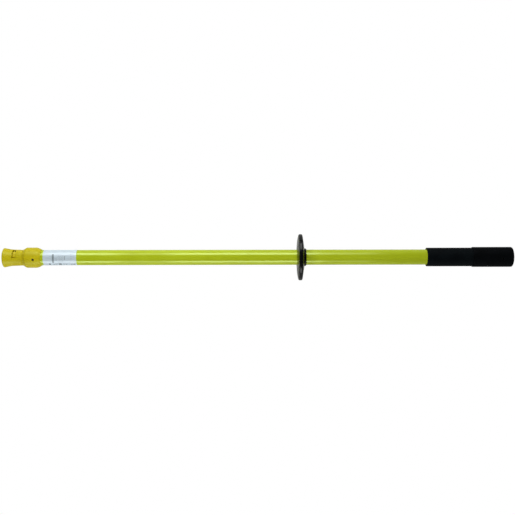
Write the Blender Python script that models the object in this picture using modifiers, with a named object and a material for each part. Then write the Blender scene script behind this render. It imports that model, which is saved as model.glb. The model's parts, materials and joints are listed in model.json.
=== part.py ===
"""Insulating operating stick: a glass-fibre tube with a plug-in coupling, a hand guard and a grip.

The stick lies along X with its coupling at -X and its origin at the middle of its length, on its axis.
Every piece is placed from the mouth of the coupling, so a "station" below is a distance from that mouth.
"""

import math

import bmesh
import bpy

# Overall, in metres
LENGTH = 1.000
GAP = 0.0003
SIDES = 48

# Tube, and the plugs that close it
TUBE_RADIUS = 0.0150
TUBE_BORE = 0.0120
TUBE_START = 0.0460
TUBE_END = 0.9935
PLUG_LENGTH = 0.0260
PLUG_FLANGE = 0.0014
SEAL_SECTION = 0.0008
SEAL_FROM_END = 0.0050

# Coupling
MOUTH_RADIUS = 0.0194
MOUTH_OPENING = 0.0159
LIP_ROUNDING = 0.0024
FLARE_KNEE = 0.0085
FLARE_KNEE_RADIUS = 0.0176
FLARE_END = 0.0125
FLARE_END_RADIUS = 0.0168
FLARE_ROOT = 0.0180
FLARE_ROOT_RADIUS = 0.0162
NECK_END = 0.0372
NECK_RADIUS = 0.0155
SHOULDER_END = 0.0470
BARREL_RADIUS = 0.01995
CROWN_START = 0.0635
CROWN_END_RADIUS = 0.0159
COUPLING_LENGTH = 0.0745
FUNNEL_DEPTH = 0.0115
FUNNEL_FLOOR = 0.0060
SOCKET_ACROSS_FLATS = 0.0124
SOCKET_CUT_START = 0.0090
SOCKET_FLOOR = 0.0380
SEAT_FLOOR = 0.0440

# Latch, in a frame with x outwards through the thumb pad, y across and z along the stick
LATCH_STATION = 0.0230
LATCH_TURN = math.radians(32)
SLOT_LENGTH = 0.0064
SLOT_HALF_WIDTH = 0.0088
SLOT_FLOOR = -0.0116
SLOT_TOP = 0.0250
PLATE_THICKNESS = 0.0050
PLATE_BACK = 0.0003
PLATE_HALF_WIDTH = 0.0084
PLATE_TOP_RADIUS = 0.0155
PLATE_FOOT = -0.0083
WINDOW_HALF_WIDTH = 0.0066
WINDOW_TOOTH = -0.0056
WINDOW_TOP = 0.0096
WINDOW_ROUNDING = 0.0016
LATCH_TRAVEL = 0.0020
NOTCH_DEPTH = 0.0008
KEEPER_RADIUS = 0.0010
KEEPER_HEIGHT = 0.0030
KEEPER_ACROSS = -0.0089
KEEPER_START = 0.0100
KEEPER_END = 0.0320
LEAF_THICKNESS = 0.0004
LEAF_HALF_LENGTH = 0.0076
LEAF_WIDTH = 0.0040

# Slotted cross pins through the coupling and the end cap
PIN_TURN = math.radians(-13)
PIN_RADIUS = 0.0022
PIN_BORE = 0.0013
PIN_SLIT = 40.0
PIN_SUNK = 0.0018
PIN_SIDES = 24
COUPLING_PIN_STATION = 0.0612
CAP_PIN_STATION = 0.9778

# Label
LABEL_START = 0.0796
LABEL_END = 0.1449
LABEL_THICKNESS = 0.0002
LABEL_SEAM = 3.0

# Hand guard
GUARD_STATION = 0.5837
GUARD_RADIUS = 0.0455
GUARD_RIM = 0.0070
GUARD_RIM_ROUNDING = 0.0022
GUARD_ROOT_RADIUS = 0.0200
GUARD_ROOT_FRONT = 0.5775
GUARD_ROOT_BACK = 0.5900
HUB_RADIUS = 0.01725
HUB_END = 0.5950
LOCK_RING_RADIUS = 0.0172
LOCK_RING_LENGTH = 0.0055

# Grip and end cap
GRIP_START = 0.8317
GRIP_RADIUS = 0.0181
GRIP_LIP = 0.0010
CAP_START = 0.9220
CAP_RADIUS = 0.01935
CAP_EDGE = 0.0007
CAP_END_ROUNDING = 0.0035
CAP_FLOOR = 0.9953

parts = bpy.data.collections.new("insulating_operating_stick")
cutters = bpy.data.collections.new("cutters")


def principled(name, colour, roughness, metallic=0.0):
    """A material with one Principled BSDF; the colour is linear."""
    material = bpy.data.materials.new(name)
    material.use_nodes = True
    shader = material.node_tree.nodes["Principled BSDF"]
    shader.inputs["Base Color"].default_value = (*colour, 1.0)
    shader.inputs["Roughness"].default_value = roughness
    shader.inputs["Metallic"].default_value = metallic
    return material


def placed(obj, parent, material):
    """Puts a piece in the parts, under a frame and with its own material."""
    parts.objects.link(obj)
    obj.parent = parent
    obj.data.materials.append(material)
    return obj


def new_frame(name, parent, station, turn):
    """An empty whose x points out of the stick, at an angle from straight up towards +Y."""
    frame = bpy.data.objects.new(name, None)
    frame.parent = parent
    frame.location.z = station
    frame.rotation_euler.z = math.pi - turn
    parts.objects.link(frame)
    return frame


def turned(name, outline, parent, material, closed=True):
    """A turned piece from its (station, radius) points, run from its far end along its outside."""
    points = [(radius, 0.0, station) for station, radius in outline]
    edges = [(i, i + 1) for i in range(len(points) - 1)]
    if closed:
        edges.append((len(points) - 1, 0))
    mesh = bpy.data.meshes.new(name)
    mesh.from_pydata(points, edges, [])
    obj = placed(bpy.data.objects.new(name, mesh), parent, material)
    obj.rotation_euler.z = math.pi / SIDES
    screw = obj.modifiers.new("turn", "SCREW")
    screw.axis = "Z"
    screw.steps = SIDES
    screw.render_steps = SIDES
    screw.use_merge_vertices = True
    screw.merge_threshold = 0.00001
    screw.use_smooth_shade = True
    return obj


def flat_piece(name, outlines, thickness, parent, material):
    """A plate from closed outlines in its parent's xy plane; a second outline is a hole in it."""
    curve = bpy.data.curves.new(name, "CURVE")
    curve.dimensions = "2D"
    curve.fill_mode = "BOTH"
    curve.extrude = thickness / 2
    for outline in outlines:
        spline = curve.splines.new("POLY")
        spline.points.add(len(outline) - 1)
        spline.use_cyclic_u = True
        for point, (x, y) in zip(spline.points, outline):
            point.co = (x, y, 0.0, 1.0)
    return placed(bpy.data.objects.new(name, curve), parent, material)


def cylinder_mesh(name, radius, length, sides):
    """A cylinder along z, centred on its origin."""
    mesh = bpy.data.meshes.new(name)
    bm = bmesh.new()
    bmesh.ops.create_cone(
        bm, cap_ends=True, segments=sides, radius1=radius, radius2=radius, depth=length
    )
    bm.to_mesh(mesh)
    bm.free()
    return mesh


def box_mesh(name, size):
    """A box with the given x, y and z sizes, centred on its origin."""
    mesh = bpy.data.meshes.new(name)
    bm = bmesh.new()
    bmesh.ops.create_cube(bm, size=1.0)
    bmesh.ops.scale(bm, vec=size, verts=bm.verts)
    bm.to_mesh(mesh)
    bm.free()
    return mesh


def cutter(mesh, parent, location, rotation=(0.0, 0.0, 0.0)):
    """A hidden object that Boolean modifiers cut with."""
    obj = bpy.data.objects.new(mesh.name, mesh)
    obj.parent = parent
    obj.location = location
    obj.rotation_euler = rotation
    obj.hide_render = True
    obj.display_type = "WIRE"
    cutters.objects.link(obj)
    return obj


def cut(obj, *tools):
    """Takes each tool's volume out of the object."""
    for tool in tools:
        modifier = obj.modifiers.new(tool.name, "BOOLEAN")
        modifier.operation = "DIFFERENCE"
        modifier.solver = "EXACT"
        modifier.object = tool


def arc(centre, radius, start, end, steps):
    """Points on a circle from one angle in degrees to another, with both ends."""
    angles = [math.radians(start + (end - start) * i / steps) for i in range(steps + 1)]
    return [(centre[0] + radius * math.cos(a), centre[1] + radius * math.sin(a)) for a in angles]


def run_between(start, end, steps, blend):
    """Points between two (station, radius) points without the last, the radius following a blend."""
    run = []
    for i in range(steps):
        share = i / steps
        part = blend(share)
        run.append((start[0] + (end[0] - start[0]) * share, start[1] + (end[1] - start[1]) * part))
    return run


def s_shaped(share):
    """Level at both ends."""
    return (1 - math.cos(math.pi * share)) / 2


def steep_start(share):
    """Steep at the start and level at the end."""
    return math.sin(math.pi / 2 * share)


def make_coupling(axis, latch, material):
    """The moulded coupling: funnel mouth, hexagonal socket, latch slot and tube seat."""
    seat = TUBE_RADIUS + GAP
    outline = [(SEAT_FLOOR, 0.0), (SEAT_FLOOR, seat), (COUPLING_LENGTH, seat)]
    crown_end = (COUPLING_LENGTH, CROWN_END_RADIUS)
    outline += run_between(crown_end, (CROWN_START, BARREL_RADIUS), 6, steep_start)
    outline.append((CROWN_START, BARREL_RADIUS))
    shoulder = (SHOULDER_END, BARREL_RADIUS)
    outline += run_between(shoulder, (NECK_END, NECK_RADIUS), 8, s_shaped)
    outline.append((NECK_END, NECK_RADIUS))
    flare_root = (FLARE_ROOT, FLARE_ROOT_RADIUS)
    outline += [flare_root, (FLARE_END, FLARE_END_RADIUS), (FLARE_KNEE, FLARE_KNEE_RADIUS)]
    lip = (LIP_ROUNDING, MOUTH_RADIUS - LIP_ROUNDING)
    outline += arc(lip, LIP_ROUNDING, 72, 180, 5)
    outline += [(0.0, MOUTH_OPENING), (FUNNEL_DEPTH, FUNNEL_FLOOR), (FUNNEL_DEPTH, 0.0)]
    body = turned("coupling_body", outline, axis, material, closed=False)

    socket_length = SOCKET_FLOOR - SOCKET_CUT_START
    corner = SOCKET_ACROSS_FLATS / 2 / math.cos(math.radians(30))
    socket = cutter(
        cylinder_mesh("socket_cutter", corner, socket_length, 6),
        latch,
        (0.0, 0.0, (SOCKET_FLOOR + SOCKET_CUT_START) / 2 - LATCH_STATION),
        (0.0, 0.0, math.radians(30)),
    )
    slot = cutter(
        box_mesh("slot_cutter", (SLOT_TOP - SLOT_FLOOR, 2 * SLOT_HALF_WIDTH, SLOT_LENGTH)),
        latch,
        ((SLOT_TOP + SLOT_FLOOR) / 2, 0.0, 0.0),
    )
    keeper_reach = 0.0045
    keeper_length = KEEPER_END - KEEPER_START + keeper_reach + GAP
    keeper_hole = cutter(
        cylinder_mesh("keeper_hole_cutter", KEEPER_RADIUS + GAP, keeper_length, PIN_SIDES),
        latch,
        (
            KEEPER_HEIGHT,
            KEEPER_ACROSS,
            KEEPER_END + GAP - keeper_length / 2 - LATCH_STATION,
        ),
    )
    cut(body, socket, slot, keeper_hole)
    return body


def make_latch(latch, materials):
    """The thumb plate with its window, the leaf spring under it and the pin that keeps it in."""
    half = PLATE_HALF_WIDTH
    shoulder = math.degrees(math.asin(half / PLATE_TOP_RADIUS))
    notch_low = KEEPER_HEIGHT - KEEPER_RADIUS - GAP
    notch_high = KEEPER_HEIGHT + KEEPER_RADIUS + GAP + LATCH_TRAVEL
    plate_outline = [(PLATE_FOOT, -half), (PLATE_FOOT, half)]
    plate_outline += arc((0.0, 0.0), PLATE_TOP_RADIUS, shoulder, -shoulder, 10)
    plate_outline += [
        (notch_high, -half),
        (notch_high, NOTCH_DEPTH - half),
        (notch_low, NOTCH_DEPTH - half),
        (notch_low, -half),
    ]
    inset = WINDOW_HALF_WIDTH - WINDOW_ROUNDING
    low = WINDOW_TOOTH + WINDOW_ROUNDING
    high = WINDOW_TOP - WINDOW_ROUNDING
    window = arc((high, inset), WINDOW_ROUNDING, 0, 90, 3)
    window += arc((low, inset), WINDOW_ROUNDING, 90, 180, 3)
    window += arc((low, -inset), WINDOW_ROUNDING, 180, 270, 3)
    window += arc((high, -inset), WINDOW_ROUNDING, 270, 360, 3)
    plate = flat_piece(
        "latch_plate", [plate_outline, window], PLATE_THICKNESS, latch, materials["latch"]
    )
    plate.location.z = PLATE_BACK

    foot = SLOT_FLOOR + GAP
    rise = PLATE_FOOT - GAP - LEAF_THICKNESS - foot
    steps = 16
    under = []
    for i in range(steps + 1):
        across = -LEAF_HALF_LENGTH + 2 * LEAF_HALF_LENGTH * i / steps
        bow = rise * math.cos(math.pi / 2 * across / LEAF_HALF_LENGTH)
        under.append((foot + bow, across))
    over = [(height + LEAF_THICKNESS, across) for height, across in reversed(under)]
    leaf = flat_piece("latch_spring", [under + over], LEAF_WIDTH, latch, materials["spring"])
    leaf.location.z = PLATE_BACK

    length = KEEPER_END - KEEPER_START
    mesh = cylinder_mesh("latch_keeper_pin", KEEPER_RADIUS, length, PIN_SIDES)
    keeper = placed(bpy.data.objects.new(mesh.name, mesh), latch, materials["keeper"])
    middle = (KEEPER_START + KEEPER_END) / 2 - LATCH_STATION
    keeper.location = (KEEPER_HEIGHT, KEEPER_ACROSS, middle)


def make_cross_pin(name, pin_frame, radius, material):
    """A slotted spring pin along its frame's x, sunk a little below a surface of this radius."""
    slit = PIN_SLIT / 2
    outline = arc((0.0, 0.0), PIN_RADIUS, slit, 360 - slit, PIN_SIDES)
    outline += arc((0.0, 0.0), PIN_BORE, 360 - slit, slit, PIN_SIDES)
    pin = flat_piece(name, [outline], 2 * (radius - PIN_SUNK), pin_frame, material)
    pin.rotation_euler.y = math.pi / 2
    return pin


def pin_cutter(name, pin_frame):
    """The hole right through the stick that a cross pin sits in."""
    mesh = cylinder_mesh(name, PIN_RADIUS + GAP, 0.060, PIN_SIDES)
    return cutter(mesh, pin_frame, (0.0, 0.0, 0.0), (0.0, math.pi / 2, 0.0))


def make_tube(axis, material):
    """The glass-fibre tube."""
    outline = [
        (TUBE_END, TUBE_BORE),
        (TUBE_END, TUBE_RADIUS),
        (TUBE_START, TUBE_RADIUS),
        (TUBE_START, TUBE_BORE),
    ]
    return turned("tube", outline, axis, material)


def make_foam(axis, material):
    """The foam that fills the tube between its two plugs."""
    radius = TUBE_BORE - GAP
    front = TUBE_START + PLUG_LENGTH + GAP
    back = TUBE_END - PLUG_LENGTH - GAP
    outline = [(back, 0.0), (back, radius), (front, radius), (front, 0.0)]
    return turned("foam_core", outline, axis, material, closed=False)


def make_plug(name, tube_end, inwards, axis, material):
    """A stopper in one end of the tube: a flange outside, a body inside and a groove for its seal."""
    body = TUBE_BORE - GAP
    flange = TUBE_RADIUS - GAP
    groove = body - 2 * SEAL_SECTION - GAP
    seal_at = PLUG_LENGTH - SEAL_FROM_END
    half_groove = SEAL_SECTION + GAP
    profile = [
        (-PLUG_FLANGE - GAP, 0.0),
        (-PLUG_FLANGE - GAP, flange),
        (-GAP, flange),
        (-GAP, body),
        (seal_at - half_groove, body),
        (seal_at - half_groove, groove),
        (seal_at + half_groove, groove),
        (seal_at + half_groove, body),
        (PLUG_LENGTH, body),
        (PLUG_LENGTH, 0.0),
    ]
    outline = [(tube_end + inwards * depth, radius) for depth, radius in profile]
    if inwards > 0:
        outline.reverse()
    return turned(name, outline, axis, material, closed=False)


def make_seal(name, tube_end, inwards, axis, material):
    """The O-ring in a plug's groove."""
    outer = TUBE_BORE - GAP
    bpy.ops.mesh.primitive_torus_add(
        major_segments=SIDES,
        minor_segments=8,
        major_radius=outer - SEAL_SECTION,
        minor_radius=SEAL_SECTION,
    )
    seal = bpy.context.object
    seal.name = name
    for collection in seal.users_collection:
        collection.objects.unlink(seal)
    placed(seal, axis, material)
    seal.location.z = tube_end + inwards * (PLUG_LENGTH - SEAL_FROM_END)
    seal.rotation_euler.z = math.pi / SIDES
    return seal


def make_label(axis, material):
    """The film label, wrapped round the tube to a narrow seam at the back of the stick."""
    inner = TUBE_RADIUS + GAP
    outer = inner + LABEL_THICKNESS
    seam = LABEL_SEAM / 2
    outline = arc((0.0, 0.0), outer, seam, 360 - seam, SIDES)
    outline += arc((0.0, 0.0), inner, 360 - seam, seam, SIDES)
    label = flat_piece("rating_label", [outline], LABEL_END - LABEL_START, axis, material)
    label.location.z = (LABEL_START + LABEL_END) / 2
    return label


def make_guard(axis, materials):
    """The round hand guard with its hub, and the rubber ring inside it that grips the tube."""
    bore = TUBE_RADIUS + GAP
    rounding = GUARD_RIM_ROUNDING
    rim_radius = GUARD_RADIUS - rounding
    front = GUARD_STATION - GUARD_RIM / 2
    back = GUARD_STATION + GUARD_RIM / 2
    groove_radius = LOCK_RING_RADIUS + GAP
    groove_half = LOCK_RING_LENGTH / 2 + GAP
    outline = [(HUB_END, bore), (HUB_END, HUB_RADIUS - 0.0005), (HUB_END - 0.0005, HUB_RADIUS)]
    outline += [(GUARD_ROOT_BACK + 0.0008, HUB_RADIUS), (GUARD_ROOT_BACK, GUARD_ROOT_RADIUS)]
    outline += arc((back - rounding, rim_radius), rounding, 0, 90, 4)
    outline += arc((front + rounding, rim_radius), rounding, 90, 180, 4)
    outline += [
        (GUARD_ROOT_FRONT, GUARD_ROOT_RADIUS),
        (GUARD_ROOT_FRONT, bore),
        (GUARD_STATION - groove_half, bore),
        (GUARD_STATION - groove_half, groove_radius),
        (GUARD_STATION + groove_half, groove_radius),
        (GUARD_STATION + groove_half, bore),
    ]
    turned("hand_guard", outline, axis, materials["guard"])

    ring_front = GUARD_STATION - LOCK_RING_LENGTH / 2
    ring_back = GUARD_STATION + LOCK_RING_LENGTH / 2
    ring = [
        (ring_back, bore),
        (ring_back, LOCK_RING_RADIUS),
        (ring_front, LOCK_RING_RADIUS),
        (ring_front, bore),
    ]
    turned("guard_lock_ring", ring, axis, materials["lock_ring"])


def make_grip(axis, material):
    """The grip sleeve, from its rounded front lip back to the end cap."""
    bore = TUBE_RADIUS + GAP
    back = CAP_START - GAP
    lip = (GRIP_START + GRIP_LIP, GRIP_RADIUS - GRIP_LIP)
    outline = [(back, bore), (back, GRIP_RADIUS)]
    outline += arc(lip, GRIP_LIP, 90, 180, 3)
    outline.append((GRIP_START, bore))
    return turned("grip_sleeve", outline, axis, material)


def make_end_cap(axis, material):
    """The cap over the butt of the tube, closed and rounded at its end."""
    bore = TUBE_RADIUS + GAP
    rounding = (LENGTH - CAP_END_ROUNDING, CAP_RADIUS - CAP_END_ROUNDING)
    outline = [(LENGTH, 0.0)]
    outline += arc(rounding, CAP_END_ROUNDING, 0, 90, 5)
    outline += [
        (CAP_START + CAP_EDGE, CAP_RADIUS),
        (CAP_START, CAP_RADIUS - CAP_EDGE),
        (CAP_START, bore),
        (CAP_FLOOR, bore),
        (CAP_FLOOR, 0.0),
    ]
    return turned("end_cap", outline, axis, material, closed=False)


def main():
    """Clears the scene and builds the stick."""
    for obj in list(bpy.data.objects):
        bpy.data.objects.remove(obj)
    bpy.context.scene.collection.children.link(parts)
    bpy.context.scene.collection.children.link(cutters)
    cutters.hide_render = True

    axis = bpy.data.objects.new("stick_axis", None)
    axis.location.x = -LENGTH / 2
    axis.rotation_euler.y = math.pi / 2
    parts.objects.link(axis)
    latch = new_frame("latch_frame", axis, LATCH_STATION, LATCH_TURN)
    coupling_pin = new_frame("coupling_pin_frame", axis, COUPLING_PIN_STATION, PIN_TURN)
    cap_pin = new_frame("end_cap_pin_frame", axis, CAP_PIN_STATION, PIN_TURN)

    materials = {
        "coupling": principled("coupling_polyamide", (0.48, 0.37, 0.012), 0.45),
        "latch": principled("latch_polyamide", (0.50, 0.38, 0.015), 0.42),
        "spring": principled("spring_steel", (0.45, 0.45, 0.46), 0.30, 1.0),
        "keeper": principled("keeper_pin_steel", (0.50, 0.50, 0.52), 0.30, 1.0),
        "cross_pin": principled("cross_pin_steel", (0.42, 0.42, 0.43), 0.35, 1.0),
        "tube": principled("tube_glass_fibre", (0.38, 0.46, 0.02), 0.18),
        "foam": principled("foam_polyurethane", (0.62, 0.52, 0.28), 0.90),
        "plug": principled("plug_polyamide", (0.02, 0.02, 0.02), 0.50),
        "seal": principled("seal_rubber", (0.015, 0.015, 0.015), 0.60),
        "label": principled("label_film", (0.62, 0.66, 0.68), 0.30),
        "guard": principled("guard_pvc", (0.006, 0.007, 0.007), 0.45),
        "lock_ring": principled("lock_ring_rubber", (0.02, 0.02, 0.02), 0.70),
        "grip": principled("grip_rubber", (0.006, 0.007, 0.008), 0.55),
        "cap": principled("end_cap_rubber", (0.005, 0.006, 0.006), 0.50),
    }

    coupling = make_coupling(axis, latch, materials["coupling"])
    make_latch(latch, materials)
    make_cross_pin("coupling_pin", coupling_pin, BARREL_RADIUS, materials["cross_pin"])
    make_cross_pin("end_cap_pin", cap_pin, CAP_RADIUS, materials["cross_pin"])
    tube = make_tube(axis, materials["tube"])
    make_foam(axis, materials["foam"])
    front_plug = make_plug("front_plug", TUBE_START, 1, axis, materials["plug"])
    rear_plug = make_plug("rear_plug", TUBE_END, -1, axis, materials["plug"])
    make_seal("front_plug_seal", TUBE_START, 1, axis, materials["seal"])
    make_seal("rear_plug_seal", TUBE_END, -1, axis, materials["seal"])
    make_label(axis, materials["label"])
    make_guard(axis, materials)
    make_grip(axis, materials["grip"])
    end_cap = make_end_cap(axis, materials["cap"])

    coupling_hole = pin_cutter("coupling_pin_cutter", coupling_pin)
    cap_hole = pin_cutter("end_cap_pin_cutter", cap_pin)
    cut(coupling, coupling_hole)
    cut(front_plug, coupling_hole)
    cut(tube, coupling_hole, cap_hole)
    cut(rear_plug, cap_hole)
    cut(end_cap, cap_hole)


main()
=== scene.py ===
"""Looks of an insulating operating stick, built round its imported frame.

The stick lies along X with its coupling at -X. A "station" is a distance in metres from the mouth of the
coupling. Turned pieces start as an outline of (station, radius) corners that is spun about the stick.
"""

import json
import logging
import math
from collections.abc import Sequence
from dataclasses import dataclass, field
from enum import Enum
from typing import Any

import bmesh
import bpy
from mathutils import Matrix, Vector


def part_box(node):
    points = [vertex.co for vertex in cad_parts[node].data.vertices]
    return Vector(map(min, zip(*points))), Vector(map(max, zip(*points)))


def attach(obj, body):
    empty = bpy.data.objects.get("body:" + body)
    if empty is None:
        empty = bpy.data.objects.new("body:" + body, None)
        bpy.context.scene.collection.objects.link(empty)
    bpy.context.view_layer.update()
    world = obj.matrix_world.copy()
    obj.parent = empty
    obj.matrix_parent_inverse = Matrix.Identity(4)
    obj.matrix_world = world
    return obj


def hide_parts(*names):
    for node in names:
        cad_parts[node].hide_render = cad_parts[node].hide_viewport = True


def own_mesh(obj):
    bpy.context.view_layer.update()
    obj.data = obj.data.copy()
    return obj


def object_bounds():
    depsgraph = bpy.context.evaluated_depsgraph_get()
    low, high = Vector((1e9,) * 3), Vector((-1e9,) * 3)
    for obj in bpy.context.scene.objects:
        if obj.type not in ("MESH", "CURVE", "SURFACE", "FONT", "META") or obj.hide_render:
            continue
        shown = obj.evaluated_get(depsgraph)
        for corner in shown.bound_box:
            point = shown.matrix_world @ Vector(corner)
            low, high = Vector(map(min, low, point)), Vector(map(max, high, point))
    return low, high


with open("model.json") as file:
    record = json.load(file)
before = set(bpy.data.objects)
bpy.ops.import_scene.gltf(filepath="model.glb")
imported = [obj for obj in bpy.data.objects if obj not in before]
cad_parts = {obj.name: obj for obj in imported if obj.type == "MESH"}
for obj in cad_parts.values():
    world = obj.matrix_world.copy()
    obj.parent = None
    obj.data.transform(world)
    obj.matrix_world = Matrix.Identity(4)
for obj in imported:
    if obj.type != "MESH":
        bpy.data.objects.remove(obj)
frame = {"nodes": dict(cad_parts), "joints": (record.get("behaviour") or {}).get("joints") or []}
CAD_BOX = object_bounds()

MM = 0.001
MOUTH = CAD_BOX[0][0]
ALONG = Vector((1.0, 0.0, 0.0))
WELD = 0.001 * MM
# How far past a rounding its holding corner lies, and how many times that room a face needs to have one
HOLD = 0.3 * MM
HOLD_ROOM = 3

log = logging.getLogger("operating_stick")


class Body(Enum):
    """The bodies that pieces ride on."""

    STICK = "stick"
    LATCH = "latch"


class Slot(Enum):
    """The record's material slots."""

    COUPLING = "coupling_polyamide"
    LATCH = "latch_polyamide"
    SPRING = "spring_steel"
    PIN = "pin_steel"
    PLUG = "plug_polyamide"
    SEAL = "seal_rubber"
    TUBE = "tube_glass_fibre"
    FOAM = "foam_polyurethane"
    LABEL = "label_film"
    GUARD = "guard_pvc"
    GRIP = "grip_rubber"
    CAP = "end_cap_rubber"


# ---------------------------------------------------------------- colour and nodes


def linear(hex_colour: str) -> tuple[float, float, float, float]:
    """Turns an sRGB hex colour into a linear one.

    Args:
        hex_colour: Six hex digits after a "#".

    Returns:
        Red, green, blue and an alpha of 1.
    """
    shares = [int(hex_colour[i : i + 2], 16) / 255 for i in (1, 3, 5)]
    turned = [s / 12.92 if s <= 0.04045 else ((s + 0.055) / 1.055) ** 2.4 for s in shares]
    return (turned[0], turned[1], turned[2], 1.0)


def add_node(
    tree: bpy.types.NodeTree,
    kind: str,
    inputs: dict[str | int, Any] | None = None,
    **settings: Any,
) -> bpy.types.Node:
    """Adds a node with its settings and links.

    Args:
        tree: The node tree it goes in.
        kind: The node's type name.
        inputs: Sockets by name or number; a socket is linked, anything else is set as the value.
        **settings: The node's own properties.

    Returns:
        The new node.
    """
    node = tree.nodes.new(kind)
    for name, value in settings.items():
        setattr(node, name, value)
    for name, value in (inputs or {}).items():
        if isinstance(value, bpy.types.NodeSocket):
            tree.links.new(value, node.inputs[name])
        else:
            node.inputs[name].default_value = value
    return node


# The colour sockets of a Mix node, which share their names with the float and vector ones
MIX_A = 6
MIX_B = 7
MIX_RESULT = 2
BLACK = (0.0, 0.0, 0.0, 1.0)
WHITE = (1.0, 1.0, 1.0, 1.0)


@dataclass(frozen=True)
class Finish:
    """A surface finish: one material, made once and shared by the pieces that have it."""

    name: str

    def nodes(self, tree: bpy.types.NodeTree, place: bpy.types.NodeSocket) -> bpy.types.Node:
        """Adds the finish's nodes; each finish has its own.

        Args:
            tree: The material's node tree.
            place: The Object coordinates.

        Returns:
            The shader node.
        """
        raise NotImplementedError

    def material(self) -> bpy.types.Material:
        """The finish's material, made on its first use.

        Returns:
            The material.
        """
        known = bpy.data.materials.get(self.name)
        if known:
            return known
        made = bpy.data.materials.new(self.name)
        made.use_nodes = True
        tree = made.node_tree
        tree.nodes.clear()
        place = add_node(tree, "ShaderNodeTexCoord").outputs["Object"]
        shader = self.nodes(tree, place)
        add_node(tree, "ShaderNodeOutputMaterial", {"Surface": shader.outputs["BSDF"]})
        return made


@dataclass(frozen=True)
class MouldedPolyamide(Finish):
    """Glass-filled polyamide out of an etched mould: saturated right through, with a soft broad sheen.

    The flow of the melt leaves faint lengthwise bands of a deeper colour, and the etched mould a fine
    grain. The real grain is 0.2 mm, and it is drawn at 0.9 mm, so that it shows.
    """

    colour: str = "#d3c518"
    deep: str = "#c8b714"
    tint: str = "#e8ffa8"
    roughness: float = 0.38
    specular: float = 0.42
    grain: float = 0.9 * MM
    grain_roughness: float = 0.05
    relief: float = 0.12 * MM
    relief_strength: float = 0.18
    flow: float = 14.0 * MM
    flow_stretch: tuple[float, float, float] = (0.35, 1.0, 1.0)
    ior: float = 1.53

    def nodes(self, tree: bpy.types.NodeTree, place: bpy.types.NodeSocket) -> bpy.types.Node:
        """Adds flow bands, moulded grain and a roughness that follows the grain.

        Args:
            tree: The material's node tree.
            place: The Object coordinates.

        Returns:
            The shader node.
        """
        stretched = add_node(
            tree, "ShaderNodeMapping", {"Vector": place, "Scale": self.flow_stretch}
        )
        bands = add_node(
            tree,
            "ShaderNodeTexNoise",
            {"Vector": stretched.outputs["Vector"], "Scale": 1 / self.flow, "Detail": 3.0},
        )
        grain = add_node(
            tree,
            "ShaderNodeTexNoise",
            {"Vector": place, "Scale": 1 / self.grain, "Detail": 2.0, "Roughness": 0.6},
        )
        colour = add_node(
            tree,
            "ShaderNodeMix",
            {0: bands.outputs["Fac"], MIX_A: linear(self.colour), MIX_B: linear(self.deep)},
            data_type="RGBA",
        )
        roughness = add_node(
            tree,
            "ShaderNodeMapRange",
            {
                "Value": grain.outputs["Fac"],
                "To Min": self.roughness - self.grain_roughness,
                "To Max": self.roughness + self.grain_roughness,
            },
        )
        bump = add_node(
            tree,
            "ShaderNodeBump",
            {
                "Height": grain.outputs["Fac"],
                "Strength": self.relief_strength,
                "Distance": self.relief,
            },
        )
        return add_node(
            tree,
            "ShaderNodeBsdfPrincipled",
            {
                "Base Color": colour.outputs[MIX_RESULT],
                "Roughness": roughness.outputs["Result"],
                "IOR": self.ior,
                "Specular IOR Level": self.specular,
                "Specular Tint": linear(self.tint),
                "Normal": bump.outputs["Normal"],
            },
        )


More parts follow.
